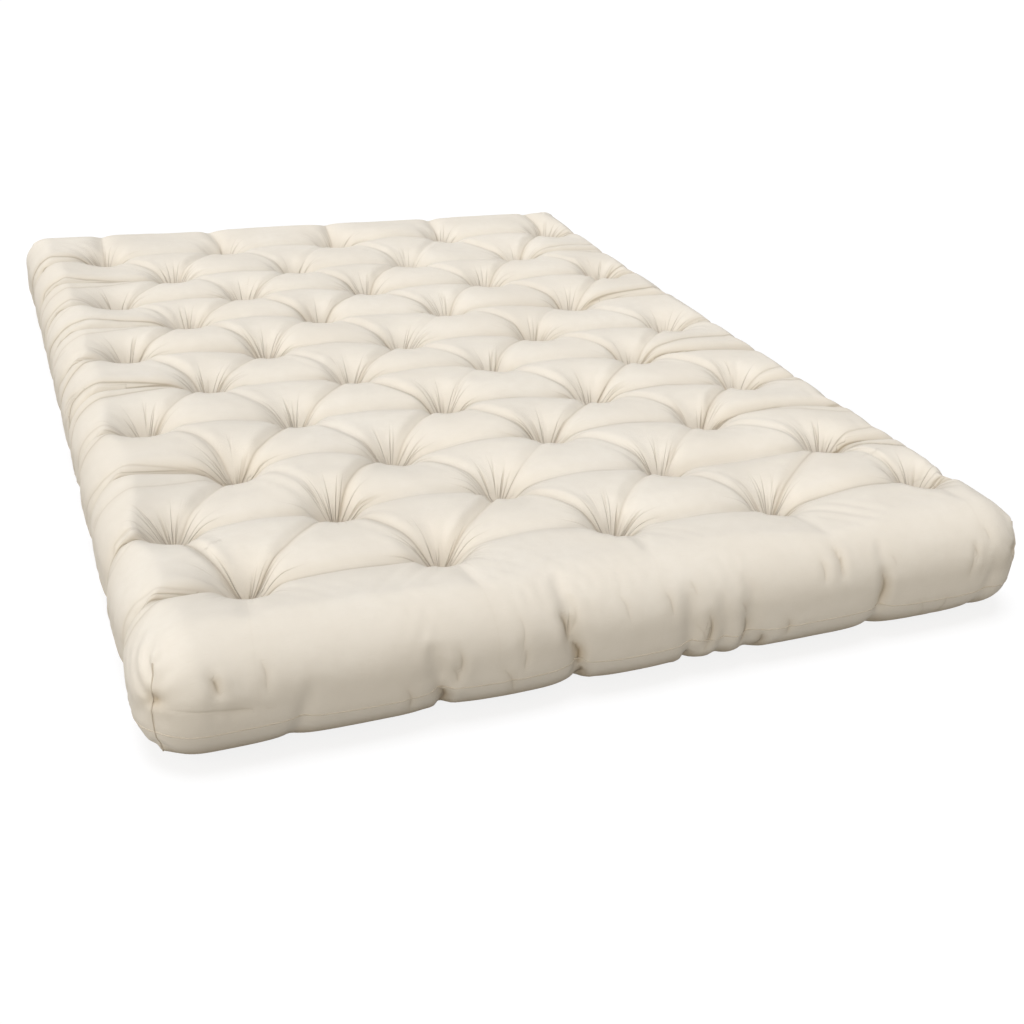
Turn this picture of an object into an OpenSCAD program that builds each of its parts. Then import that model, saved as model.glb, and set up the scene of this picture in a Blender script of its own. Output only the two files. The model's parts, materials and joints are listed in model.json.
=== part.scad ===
// Tufted cotton futon mattress, lying flat on its bottom panel.
// Origin: middle of the bottom panel's flat underside. X runs across, Y along, Z up.

/* [Mattress] */
// Length, along Y
mattress_length = 1905; // [1500:5:2200]
// Width, along X
mattress_width = 1372; // [1000:2:2000]
// Thickness at the crown between the tufts
mattress_thickness = 172; // [140:2:240]
// Corner radius seen from above
corner_round = 90; // [60:1:160]
// Radius that the top and bottom edges are rounded to
edge_round = 80; // [40:1:120]

/* [Casing] */
// Thickness of the cotton casing cloth
casing_cloth = 1.2; // [0.8:0.1:3]
// Height of the side seam, which joins the top and bottom panels
seam_height = 58; // [40:1:90]
// Height of the seam's closed ridge
seam_ridge_height = 3; // [2:0.5:6]
// How far the seams stand out from the casing
seam_proud = 1.5; // [0.5:0.1:3]
// Width of the upright seam at each corner
corner_seam_width = 4; // [2:0.5:8]
// How far a corner seam stops short of the crown
corner_seam_drop = 14; // [6:1:30]

/* [Filling] */
// Number of cotton batting layers
batting_layers = 7; // [4:1:9]
// Slack between the casing and the batting
fill_clearance = 0.3; // [0.2:0.1:1]

/* [Tufts] */
// Rows of tufts along the length
tuft_rows = 10; // [6:1:12]
// Tufts in a full row; every other row has one fewer
tufts_across = 5; // [4:1:6]
// Distance from the near end to the first row
near_margin = 186; // [150:1:260]
// Distance from the far end to the ends of the last row
far_margin = 196; // [170:1:260]
// Distance from a long side to the outer tufts of a full row, before the rows' own shift
side_margin = 135; // [120:1:200]
// How far the first row sits to the right of the middle
first_row_shift = 36; // [-20:1:40]
// How far the next rows sit to the left of the middle at the near end
near_shift = 70; // [0:1:80]
// How far the rows have come to the right of the middle at the far end
far_shift = 27; // [0:1:40]
// How much wider the tufts are spaced to the right than to the left, near the near end
row_spread = 53; // [0:1:60]
// How much nearer the outer right tuft of a middle row is than the row's own middle
row_lean = 48; // [0:1:70]
// How far the middle of the last row bows towards the far end
last_row_bow = 32; // [0:1:45]
// Depth of a dimple in the top panel
top_dimple_depth = 52; // [30:1:60]
// Radius where a top dimple runs out into the panel
top_dimple_radius = 98; // [60:1:105]
// Depth of a dimple in the bottom panel
bottom_dimple_depth = 16; // [12:1:30]
// Radius where a bottom dimple runs out into the panel
bottom_dimple_radius = 60; // [40:1:90]
// Radius of the flat spot under each knot
knot_seat_radius = 10; // [9:0.5:14]
// Radius of a tied knot
knot_radius = 7; // [4:0.5:8]
// Height of a tied knot
knot_height = 7; // [4:0.5:10]
// Diameter of the tufting cord
cord_diameter = 3; // [2:0.5:5]
// Clearance round the cord
cord_clearance = 0.3; // [0.2:0.1:0.8]

/* [Hidden] */
$fn = 64;
dimple_steps = 7;
over = 20;                    // how far cutting shapes reach past what they cut
ecru = [0.90, 0.86, 0.79];
seam_ecru = [0.82, 0.77, 0.68];
cotton_white = [0.95, 0.94, 0.90];
cord_white = [0.93, 0.91, 0.85];

edge_r = min(edge_round, mattress_thickness / 2, corner_round);
corner_x = mattress_width / 2 - corner_round;
corner_y = mattress_length / 2 - corner_round;
edge_reach = corner_round - edge_r;     // from a corner's centre to the edge's centre line
fill_inset = casing_cloth + fill_clearance;
top_seat_z = mattress_thickness - top_dimple_depth;
layer_height = (mattress_thickness - 2 * fill_inset) / batting_layers;
seam_low_z = seam_height - seam_ridge_height / 2;
seam_high_z = seam_height + seam_ridge_height / 2;

// The tufts, as a hand sets them out: a full first row, then full rows and rows of one fewer
// by turns. along(k) runs from 0 at the first row to 1 at the last, across(k, i) from -1 to 1.
row_pitch = (mattress_length - near_margin - far_margin) / (tuft_rows - 1);
half_span = mattress_width / 2 - side_margin;
function in_row(k) = (k == 0 || k % 2 == 1) ? tufts_across : tufts_across - 1;
function along(k) = k / (tuft_rows - 1);
function across(k, i) = (2 * i - in_row(k) + 1) / (tufts_across - 1);
function row_y(k) = near_margin - mattress_length / 2 + k * row_pitch;
function row_x(k) = k == 0 ? first_row_shift : (near_shift + far_shift) * along(k) - near_shift;
function spread(k, i) = k == 0 ? 0 : row_spread * (pow(across(k, i), 2) - 0.5) * (1 - along(k));
function lean(k) = row_lean * pow(sin(180 * along(k)), 2);
function bow(k, i) = k < tuft_rows - 1 ? 0 : last_row_bow * (1 - pow(across(k, i), 2));
function tuft_x(k, i) = row_x(k) + across(k, i) * half_span + spread(k, i);
function tuft_y(k, i) = row_y(k) - lean(k) * across(k, i) + bow(k, i);
function tuft(k, i) = [tuft_x(k, i), tuft_y(k, i)];

// Places its children at every tuft of row k, counted from 0
module at_tufts(k) {
    for (i = [0 : in_row(k) - 1]) {
        translate(tuft(k, i)) children();
    }
}

module at_all_tufts() {
    for (k = [0 : tuft_rows - 1]) {
        at_tufts(k) children();
    }
}

module box(low, high) {
    translate(low) cube(high - low);
}

// Outline of the rounded edge, seen from the side, from a corner's centre outward
module edge_profile(inset) {
    intersection() {
        translate([0, inset]) square([corner_round - inset, mattress_thickness - 2 * inset]);
        union() {
            translate([0, inset]) square([edge_reach, mattress_thickness - 2 * inset]);
            translate([0, edge_r]) square([corner_round - inset, mattress_thickness - 2 * edge_r]);
            translate([edge_reach, edge_r]) circle(edge_r - inset);
            translate([edge_reach, mattress_thickness - edge_r]) circle(edge_r - inset);
        }
    }
}

// A rounded edge along Y, or along X if turned, on both sides
module edge_bars(half_width, half_length, inset) {
    for (side = [-1, 1], z = [edge_r, mattress_thickness - edge_r]) {
        translate([side * (half_width + edge_reach), -half_length, z])
            rotate([-90, 0, 0]) cylinder(r = edge_r - inset, h = 2 * half_length);
    }
    width = half_width + edge_reach;
    box([-width, -half_length, inset], [width, half_length, mattress_thickness - inset]);
    reach = half_width + corner_round - inset;
    box([-reach, -half_length, edge_r], [reach, half_length, mattress_thickness - edge_r]);
}

// The mattress without its dimples, drawn inset from the casing's outside
module pillow(inset) {
    edge_bars(corner_x, corner_y, inset);
    rotate(90) edge_bars(corner_y, corner_x, inset);
    for (x = [-corner_x, corner_x], y = [-corner_y, corner_y]) {
        translate([x, y, 0]) rotate_extrude() edge_profile(inset);
    }
}

// Space over a dimple, for a surface that lies inset below the casing's outside. It is drawn
// upside down at the origin: the mouth is at z = 0 and the seat at z = depth + inset.
module dimple(radius, depth, inset) {
    slope = 2 * atan(depth / (radius - knot_seat_radius));
    lip = (radius - knot_seat_radius) / sin(slope);
    turn = slope / dimple_steps;
    rotate_extrude() polygon(concat(
        [[0, -over], [radius, -over]],
        [for (s = [0 : dimple_steps])
            [radius - (lip - inset) * sin(s * turn), lip - (lip - inset) * cos(s * turn)]],
        [[knot_seat_radius + inset * tan(slope / 2), depth + inset], [0, depth + inset]]
    ));
}

module top_dimples(inset) {
    at_all_tufts()
        translate([0, 0, mattress_thickness])
        mirror([0, 0, 1])
        dimple(top_dimple_radius, top_dimple_depth, inset);
}

module bottom_dimples(inset) {
    at_all_tufts() dimple(bottom_dimple_radius, bottom_dimple_depth, inset);
}

module cord_holes() {
    at_all_tufts()
        translate([0, 0, -over])
        cylinder(d = cord_diameter + 2 * cord_clearance, h = mattress_thickness + 2 * over);
}

// Everything between two heights
module level(low, high) {
    half = [mattress_width, mattress_length] / 2 + [over, over];
    box([-half.x, -half.y, low], [half.x, half.y, high]);
}

module casing_top_panel() {
    color(ecru) difference() {
        intersection() {
            pillow(0);
            level(seam_high_z, mattress_thickness + over);
        }
        top_dimples(0);
        difference() {
            intersection() {
                pillow(casing_cloth);
                level(seam_high_z - over, mattress_thickness + over);
            }
            top_dimples(casing_cloth);
        }
        cord_holes();
    }
}

module casing_bottom_panel() {
    color(ecru) difference() {
        intersection() {
            pillow(0);
            level(-over, seam_low_z);
        }
        bottom_dimples(0);
        difference() {
            intersection() {
                pillow(casing_cloth);
                level(-over, seam_low_z + over);
            }
            bottom_dimples(casing_cloth);
        }
        cord_holes();
    }
}

// The closed ridge where the panels are sewn together, all round
module seam_ring() {
    difference() {
        intersection() {
            pillow(-seam_proud);
            level(seam_low_z, seam_high_z);
        }
        pillow(casing_cloth);
    }
}

module side_seam(side) {
    color(seam_ecru) intersection() {
        seam_ring();
        translate([side * mattress_width / 2, 0, seam_height])
            cube([2 * corner_round, 2 * corner_y, 2 * over], center = true);
    }
}

module end_seam(side) {
    color(seam_ecru) intersection() {
        seam_ring();
        translate([0, side * (corner_y + corner_round), seam_height])
            cube([mattress_width + 2 * over, 2 * corner_round, 2 * over], center = true);
    }
}

// The upright seam that closes the top panel's corner, numbered anticlockwise from the far right
module corner_seam(c) {
    x = (c == 1 || c == 4) ? 1 : -1;
    y = (c == 1 || c == 2) ? 1 : -1;
    height = mattress_thickness - corner_seam_drop - seam_high_z;
    color(seam_ecru) intersection() {
        translate([x * corner_x, y * corner_y, 0]) difference() {
            rotate_extrude() edge_profile(-seam_proud);
            rotate_extrude() edge_profile(-fill_clearance);
        }
        translate([x * corner_x, y * corner_y, seam_high_z])
            rotate(45 * x * y + (x < 0 ? 180 : 0))
            translate([0, -corner_seam_width / 2, 0])
            cube([2 * corner_round, corner_seam_width, height]);
    }
}

// One layer of the filling, counted from the bottom
module cotton_batting(n) {
    low = fill_inset + (n - 1) * layer_height;
    high = low + layer_height;
    color(cotton_white) difference() {
        intersection() {
            pillow(fill_inset);
            level(low, high);
        }
        if (high > top_seat_z - fill_inset) top_dimples(fill_inset);
        if (low < bottom_dimple_depth + fill_inset) bottom_dimples(fill_inset);
        cord_holes();
    }
}

module tuft_cords(k) {
    color(cord_white) at_tufts(k - 1)
        translate([0, 0, bottom_dimple_depth])
        cylinder(d = cord_diameter, h = top_seat_z - bottom_dimple_depth);
}

// A knot standing on z = 0, with its rounded side up
module knot() {
    bulge = knot_height / 2;
    rotate_extrude() intersection() {
        square([knot_radius, knot_height]);
        union() {
            square([knot_radius - bulge, knot_height]);
            translate([knot_radius - bulge, bulge]) circle(bulge);
        }
    }
}

module top_knots(k) {
    color(cord_white) at_tufts(k - 1)
        translate([0, 0, top_seat_z]) knot();
}

module bottom_knots(k) {
    color(cord_white) at_tufts(k - 1)
        translate([0, 0, bottom_dimple_depth - knot_height]) knot();
}

casing_top_panel();
casing_bottom_panel();
side_seam(-1);  // side_seam_left
side_seam(1);  // side_seam_right
end_seam(-1);  // end_seam_near
end_seam(1);  // end_seam_far
for (c = [1 : 4]) corner_seam(c);
for (n = [1 : batting_layers]) cotton_batting(n);
for (k = [1 : tuft_rows]) tuft_cords(k);
for (k = [1 : tuft_rows]) top_knots(k);
for (k = [1 : tuft_rows]) bottom_knots(k);
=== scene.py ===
# Tufted cotton futon mattress: casing, filling, seams, cords and knots, dressed over the CAD frame.
import json
import math
from collections import namedtuple

import bpy
import numpy as np
from mathutils import Matrix, Vector

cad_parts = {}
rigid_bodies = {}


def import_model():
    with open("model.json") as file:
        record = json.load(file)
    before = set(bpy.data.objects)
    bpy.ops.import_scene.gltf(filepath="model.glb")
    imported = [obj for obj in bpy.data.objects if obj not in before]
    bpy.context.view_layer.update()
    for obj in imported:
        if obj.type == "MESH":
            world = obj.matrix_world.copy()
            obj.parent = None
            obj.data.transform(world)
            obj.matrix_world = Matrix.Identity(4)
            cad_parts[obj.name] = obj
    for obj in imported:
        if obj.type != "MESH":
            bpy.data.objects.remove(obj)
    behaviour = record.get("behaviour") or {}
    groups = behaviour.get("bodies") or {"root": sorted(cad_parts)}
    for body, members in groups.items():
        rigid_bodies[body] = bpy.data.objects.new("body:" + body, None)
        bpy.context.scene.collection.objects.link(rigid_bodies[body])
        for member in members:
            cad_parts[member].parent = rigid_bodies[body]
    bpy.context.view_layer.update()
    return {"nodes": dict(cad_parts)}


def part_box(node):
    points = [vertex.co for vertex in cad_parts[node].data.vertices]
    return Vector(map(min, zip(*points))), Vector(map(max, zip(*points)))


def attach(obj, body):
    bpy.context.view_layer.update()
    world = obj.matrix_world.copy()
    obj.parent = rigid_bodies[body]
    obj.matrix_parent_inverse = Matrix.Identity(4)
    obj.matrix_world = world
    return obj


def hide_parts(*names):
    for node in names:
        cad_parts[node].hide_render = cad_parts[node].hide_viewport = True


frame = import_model()

# ------------------------------------------------------------------ camera
camera_place = Vector((-0.793, -2.2884, 1.0622))
camera_turn = -0.4093
camera_dip = 0.4736
camera_tilt = 0.0558
camera_lens = 45.77
camera_sensor = 36.0


def set_camera():
    bpy.context.scene.view_settings.view_transform = "Standard"
    look = Vector((
        -math.sin(camera_turn) * math.cos(camera_dip),
        math.cos(camera_turn) * math.cos(camera_dip),
        -math.sin(camera_dip),
    ))
    level = Vector((math.cos(camera_turn), math.sin(camera_turn), 0.0))
    upward = level.cross(look)
    right = math.cos(camera_tilt) * level + math.sin(camera_tilt) * upward
    up = -math.sin(camera_tilt) * level + math.cos(camera_tilt) * upward
    data = bpy.data.cameras.new("front_camera")
    data.lens = camera_lens
    data.sensor_width = camera_sensor
    data.clip_end = 100.0
    camera = bpy.data.objects.new("front_camera", data)
    bpy.context.collection.objects.link(camera)
    turn = Matrix((right, up, -look)).transposed().to_4x4()
    camera.matrix_world = Matrix.Translation(camera_place) @ turn
    bpy.context.scene.camera = camera


set_camera()

# ------------------------------------------------------------------ sizes, from the CAD frame
panel_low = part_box("casing_bottom_panel")[0]
panel_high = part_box("casing_top_panel")[1]
width = 2 * panel_high.x
length = 2 * panel_high.y
thickness = panel_high.z - panel_low.z
seam_height = (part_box("end_seam_near")[0].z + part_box("end_seam_near")[1].z) / 2
top_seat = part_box("top_knots_row_1")[0].z
bottom_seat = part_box("bottom_knots_row_1")[1].z

# rounding of the casing as it is cut, and of its edges and corners once it is filled
cut_round = 0.080
cut_corner = 0.046
roll_round = 0.088
far_roll_round = 0.070
low_round = 0.074
near_corner_round = 0.082
far_corner_round = 0.038
# the roll's rounding changes to the far end's from and over these shares of the length
far_roll_from = 0.3
far_roll_over = 0.2
# the height that dips and folds are measured down from, and the rounded slab's own height
crown = thickness + 0.012
lobe_top = thickness + 0.014

# the dip at each tuft, and the wider dish round it
dip_depth = crown - top_seat + 0.002
dip_reach = 0.118
dip_curve = 3.8
dish_depth = 0.007
dish_reach = 0.085
# the folds between tufts: steepness, reach to each side, and run in which they leave a dip
fold_curve = 1.9
fold_reach = 0.070
fold_run_out = 0.026
# each kind of fold: depth midway, width, crease depth, and how strong its painted crease shade is
FoldKind = namedtuple("FoldKind", "midway width crease dark")
fold_kinds = {
    "row": FoldKind(0.015, 1.3, 0.0065, 1.0),
    "slant": FoldKind(0.004, 0.6, 0.0030, 0.7),
    "side": FoldKind(0.015, 0.7, 0.0050, 1.0),
    "thin": FoldKind(0.004, 0.40, 0.0022, 0.8),
    "near": FoldKind(0.003, 1.0, 0.0, 0.1),
    "far": FoldKind(0.010, 1.0, 0.0040, 0.6),
}
bottom_share = 0.30
gather_height = 0.112

# the cloth is cut this much fuller than the slab it covers
side_fullness = 1.05
top_fullness = 1.080
coarse_step = 0.020
fine_step = 0.010
coarse_rounds = 160
fine_rounds = 120
# in each round, how much of its error a thread loses when too long, and when too short
straight_hold = (0.9, 0.3)
stiff_hold = (0.0, 0.08)
bias_hold = (0.10, 0.10)
# how the filling presses: step of the cloth, depth for a full press, most press, and most push
# back in where the cloth stands out of its shape, at the sides and on top
press_step = 0.0012
press_depth = 0.02
press_most = 1.5
side_push = 0.40
top_push = 0.12
kept_motion = 0.85
slope_share = 0.85
# the cloth slows down where it lies on the floor, and turns back past this room round the panels
lying_height = 0.0005
lying_motion = 0.3
edge_room = 0.008
edge_give = 0.5
knot_sink = 0.001


def tuft_places():
    """Each row's tufts, from left to right, read from its knots' own meshes."""
    rows = []
    row = 1
    while "top_knots_row_%d" % row in bpy.data.objects:
        knots = bpy.data.objects["top_knots_row_%d" % row]
        places = np.empty(len(knots.data.vertices) * 3)
        knots.data.vertices.foreach_get("co", places)
        places = places.reshape(-1, 3)
        places = places[np.argsort(places[:, 0])]
        gaps = np.where(np.diff(places[:, 0]) > 0.05)[0] + 1
        groups = np.split(places[:, :2], gaps)
        rows.append([(g.min(0) + g.max(0)) / 2 for g in groups])
        row += 1
    return rows


rows = tuft_places()
tufts = np.array([place for row in rows for place in row])


# ------------------------------------------------------------------ how the casing is folded
Fold = namedtuple("Fold", "ax ay bx by bow share kind")


def fold_lines():
    """Lines that the cloth folds along, from tuft to tuft and from the outer tufts over the edge."""
    chance = np.random.default_rng(11)
    slant_reach = 0.21
    past_edge = 0.03
    lines = []
    for k, row in enumerate(rows):
        for a, b in zip(row[:-1], row[1:]):
            bow = chance.uniform(-0.03, 0.03)
            lines.append(Fold(*a, *b, bow, chance.uniform(0.7, 1.3), "row"))
        following = rows[k + 1] if k + 1 < len(rows) else []
        for a in row:
            for b in following:
                if abs(a[0] - b[0]) < slant_reach:
                    bow = chance.uniform(-0.07, 0.07)
                    lines.append(Fold(*a, *b, bow, chance.uniform(0.2, 1.8), "slant"))
        for tuft, side in ((row[0], -1), (row[-1], 1)):
            out_x = side * (width / 2 + past_edge)
            out_y = tuft[1] - 0.020 + chance.uniform(-0.015, 0.015)
            lines.append(Fold(*tuft, out_x, out_y, chance.uniform(-0.04, 0.04), 1.0, "side"))
            for drift in (-0.050, 0.045):
                thin_y = out_y + drift + chance.uniform(-0.015, 0.015)
                share = chance.uniform(0.2, 1.3)
                lines.append(Fold(*tuft, out_x, thin_y, chance.uniform(-0.08, 0.08), share, "thin"))
    for row, side, kind in ((rows[0], -1, "near"), (rows[-1], 1, "far")):
        for tuft in row:
            out_x = tuft[0] + chance.uniform(-0.03, 0.03)
            out_y = side * (length / 2 + past_edge)
            lines.append(Fold(*tuft, out_x, out_y, chance.uniform(-0.05, 0.05), 1.0, kind))
    return lines


folds = fold_lines()


def across_fold(fold, x, y):
    """For places x, y: sideways distance from a fold, distance past its ends, run from its tufts."""
    run = math.hypot(fold.bx - fold.ax, fold.by - fold.ay)
    dx = (fold.bx - fold.ax) / run
    dy = (fold.by - fold.ay) / run
    along = (x - fold.ax) * dx + (y - fold.ay) * dy
    share = np.clip(along / run, 0, 1)
    bowed = fold.bow * run * 4 * share * (1 - share)
    side = (y - fold.ay) * dx - (x - fold.ax) * dy - bowed
    past = np.maximum(np.maximum(-along, along - run), 0)
    from_tuft = along
    if fold.kind in ("row", "slant"):
        from_tuft = np.minimum(along, run - along)
    return side, past, np.where(past > 0, 0, from_tuft)


def hollow_map(cell=0.004, margin=0.04):
    """How far the cloth is drawn down below the crown, on a grid over the whole plan."""
    chance = np.random.default_rng(17)
    tight_run = 0.05
    crease_half = 0.007
    cord_half = 0.006
    fold_start = 0.6
    crease_share = 0.6
    x = np.linspace(-width / 2 - margin, width / 2 + margin, int((width + 2 * margin) / cell))
    y = np.linspace(-length / 2 - margin, length / 2 + margin, int((length + 2 * margin) / cell))
    gx, gy = np.meshgrid(x, y)
    deep = np.zeros_like(gx)
    crease = np.zeros_like(gx)
    dish = np.zeros_like(gx)
    for fold in folds:
        side, past, run = across_fold(fold, gx, gy)
        kind = fold_kinds[fold.kind]
        near_tuft = np.exp(-run / tight_run)
        midway = kind.midway * fold.share
        depth = midway + (dip_depth * fold_start - midway) * np.exp(-run / fold_run_out)
        away = np.hypot(side, past)
        reach = fold_reach * (0.6 + 0.4 * near_tuft) * kind.width
        deep = np.maximum(deep, depth * np.clip(1 - away / reach, 0, 1) ** fold_curve)
        sharp = kind.crease * crease_share * np.exp(-away / crease_half) * (0.5 + 0.5 * near_tuft)
        crease = np.maximum(crease, sharp)
    for tx, ty in tufts:
        away = np.maximum(np.hypot(gx - tx, gy - ty) - cord_half, 0)
        deep = np.maximum(deep, dip_depth * np.clip(1 - away / dip_reach, 0, 1) ** dip_curve)
        own_dish = dish_depth * chance.uniform(0.6, 1.3)
        dish = np.maximum(dish, own_dish * np.exp(-(away / dish_reach) ** 2))
    uneven = chance.normal(0, 0.0045, (13, 9))
    deep = np.minimum(deep + dish, np.maximum(deep, dip_depth * 0.9))
    return x, y, deep + crease + stretched(uneven, gx, gy)


def stretched(coarse, gx, gy):
    """Spreads a few values smoothly over the plan."""
    fx = (gx / width + 0.5).clip(0, 0.9999) * (coarse.shape[1] - 1)
    fy = (gy / length + 0.5).clip(0, 0.9999) * (coarse.shape[0] - 1)
    i = fx.astype(int)
    j = fy.astype(int)
    sx = (fx - i) ** 2 * (3 - 2 * (fx - i))
    sy = (fy - j) ** 2 * (3 - 2 * (fy - j))
    near = coarse[j, i] * (1 - sx) + coarse[j, i + 1] * sx
    far = coarse[j + 1, i] * (1 - sx) + coarse[j + 1, i + 1] * sx
    return near * (1 - sy) + far * sy


# puckers of the near end: place across, depth, lean, half width, how high it reaches
near_puckers = [
    (-0.50, 0.012, 0.25, 0.016, 0.7),
    (-0.285, 0.024, -0.25, 0.018, 0.8),
    (-0.085, 0.034, -0.25, 0.016, 1.2),
    (0.090, 0.022, -0.20, 0.014, 0.9),
    (0.140, 0.014, -0.20, 0.010, 0.8),
    (0.190, 0.020, -0.20, 0.013, 0.9),
    (0.410, 0.020, -0.10, 0.016, 1.0),
    (0.600, 0.012, 0.10, 0.016, 0.8),
]


def wall_map(reach, puckers, overlap=1.0):
    """How far a wall is drawn in, over its length and height."""
    margin = 0.02
    cells_per_metre = 500
    full_wall = 0.003
    lean_height = 0.15
    along = np.linspace(-reach - margin, reach + margin, int(reach * cells_per_metre))
    high = np.linspace(-margin / 2, thickness + margin, 51)
    ga, gz = np.meshgrid(along, high)
    deep = np.zeros_like(ga)
    for place, depth, lean, half, top in puckers:
        middle = place + lean * (gz / thickness) * lean_height
        fade = (1 - np.clip(gz / thickness / top, 0, 1)) ** 0.8
        beside = ga - middle
        beside = np.where(beside > 0, beside, -beside * overlap)
        deep = np.maximum(deep, depth * np.exp(-beside / half) * fade)
    return along, high, deep - full_wall


def wall_maps():
    """The puckers of all four walls. Those of the long sides lap over at one edge."""
    chance = np.random.default_rng(21)
    lap = 2.6
    maps = {"near": wall_map(width / 2, near_puckers)}
    far_puckers = []
    for tuft in rows[-1]:
        far_puckers.append((
            tuft[0] + chance.uniform(-0.02, 0.02), chance.uniform(0.010, 0.020),
            chance.uniform(-0.3, 0.3), 0.014, chance.uniform(0.8, 1.8),
        ))
    maps["far"] = wall_map(width / 2, far_puckers)
    for name, end in (("left", 0), ("right", -1)):
        puckers = []
        for row in rows:
            puckers.append((
                row[end][1] - 0.02 + chance.uniform(-0.015, 0.015), chance.uniform(0.018, 0.032),
                chance.uniform(-0.2, 0.3), 0.022, chance.uniform(1.4, 3),
            ))
        for _ in range(6):
            puckers.append((
                chance.uniform(-0.85, 0.85), chance.uniform(0.005, 0.010),
                chance.uniform(-0.4, 0.4), 0.012, chance.uniform(0.5, 1),
            ))
        maps[name] = wall_map(length / 2, puckers, lap)
    return maps


def looked_up(chart, a, b):
    """Reads a map between its grid points."""
    x, y, values = chart
    fa = ((a - x[0]) / (x[1] - x[0])).clip(0, len(x) - 1.001)
    fb = ((b - y[0]) / (y[1] - y[0])).clip(0, len(y) - 1.001)
    i = fa.astype(np.int32)
    j = fb.astype(np.int32)
    fa = fa - i
    fb = fb - j
    flat = values.ravel()
    q = j * len(x) + i
    near = flat[q] * (1 - fa) + flat[q + 1] * fa
    far = flat[q + len(x)] * (1 - fa) + flat[q + len(x) + 1] * fa
    return near * (1 - fb) + far * fb


# ------------------------------------------------------------------ the casing as it is cut
def cut_cloth(step):
    """A box of cloth: top and bottom panels and the boxing round them, as numbered grids."""
    half_x = width / 2 - cut_round + cut_corner
    half_y = length / 2 - cut_round + cut_corner
    wall = math.pi * cut_round + thickness - 2 * cut_round - 2 * cut_corner
    nx = 2 * round(half_x / step)
    ny = 2 * round(half_y / step)
    levels = 2 * round(wall / step / 2)
    panel = (nx + 1) * (ny + 1)
    top = np.arange(panel).reshape(ny + 1, nx + 1)
    bottom = top + panel
    rim = np.concatenate([top[0, :-1], top[:-1, -1], top[-1, :0:-1], top[:0:-1, 0]])
    around = len(rim)
    middle = 2 * panel + np.arange((levels - 1) * around).reshape(levels - 1, around)
    ring = np.vstack([rim[None], middle, (rim + panel)[None]])
    count = 2 * panel + middle.size
    place = np.full(panel, -1)
    place[rim] = np.arange(around)
    across = []
    for j in range(ny + 1):
        right = ring[1:levels, place[top[j, -1]]]
        left = ring[levels - 1:0:-1, place[top[j, 0]]]
        across.append(np.concatenate([top[j], right, bottom[j, ::-1], left]))
    lengthwise = []
    for i in range(nx + 1):
        far = ring[1:levels, place[top[-1, i]]]
        near = ring[levels - 1:0:-1, place[top[0, i]]]
        lengthwise.append(np.concatenate([top[:, i], far, bottom[::-1, i], near]))
    plan = np.zeros((count, 2))
    level = np.zeros(count)
    across_x = np.linspace(-half_x, half_x, nx + 1)
    along_y = np.linspace(-half_y, half_y, ny + 1)
    grid = np.stack(np.meshgrid(across_x, along_y), -1)
    plan[top.ravel()] = grid.reshape(-1, 2)
    plan[bottom.ravel()] = grid.reshape(-1, 2)
    level[bottom.ravel()] = levels
    for k in range(1, levels):
        plan[ring[k]] = plan[rim]
        level[ring[k]] = k
    return {
        "nx": nx, "ny": ny, "levels": levels, "count": count, "panel": panel,
        "top": top, "bottom": bottom, "ring": ring, "rim_place": place,
        "loops": [np.array(across), np.array(lengthwise), ring[1:levels]],
        "plan": plan, "level": level, "half_x": half_x, "half_y": half_y, "wall": wall,
        "cell": (2 * half_x / nx) * (2 * half_y / ny),
    }


def unfilled_shape(cloth):
    """The cloth laid smoothly round a plain rounded slab."""
    u, v = cloth["plan"].T
    core_x = width / 2 - cut_round
    core_y = length / 2 - cut_round
    is_bottom = np.zeros(cloth["count"], bool)
    is_bottom[cloth["bottom"].ravel()] = True
    whole = math.pi * cut_round + thickness - 2 * cut_round
    dx = np.maximum(np.abs(u) - core_x, 0)
    dy = np.maximum(np.abs(v) - core_y, 0)
    off = np.hypot(dx, dy)
    safe = np.maximum(off, 1e-9)
    dx = dx / safe * np.sign(u)
    dy = dy / safe * np.sign(v)
    path = off + (whole - 2 * off) * cloth["level"] / cloth["levels"]
    path = np.where(is_bottom, whole - off, path)
    first = math.pi * cut_round / 2
    second = first + thickness - 2 * cut_round
    out = np.where(path < second, cut_round, cut_round * np.cos((path - second) / cut_round))
    out = np.where(path < first, cut_round * np.sin(path / cut_round), out)
    z_wall = thickness - cut_round - (path - first)
    z_low = cut_round - cut_round * np.sin((path - second) / cut_round)
    z_high = thickness - cut_round + cut_round * np.cos(path / cut_round)
    z = np.where(path < first, z_high, np.where(path < second, z_wall, z_low))
    x = np.clip(u, -core_x, core_x) + dx * out
    y = np.clip(v, -core_y, core_y) + dy * out
    return np.c_[x, y, z]


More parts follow.
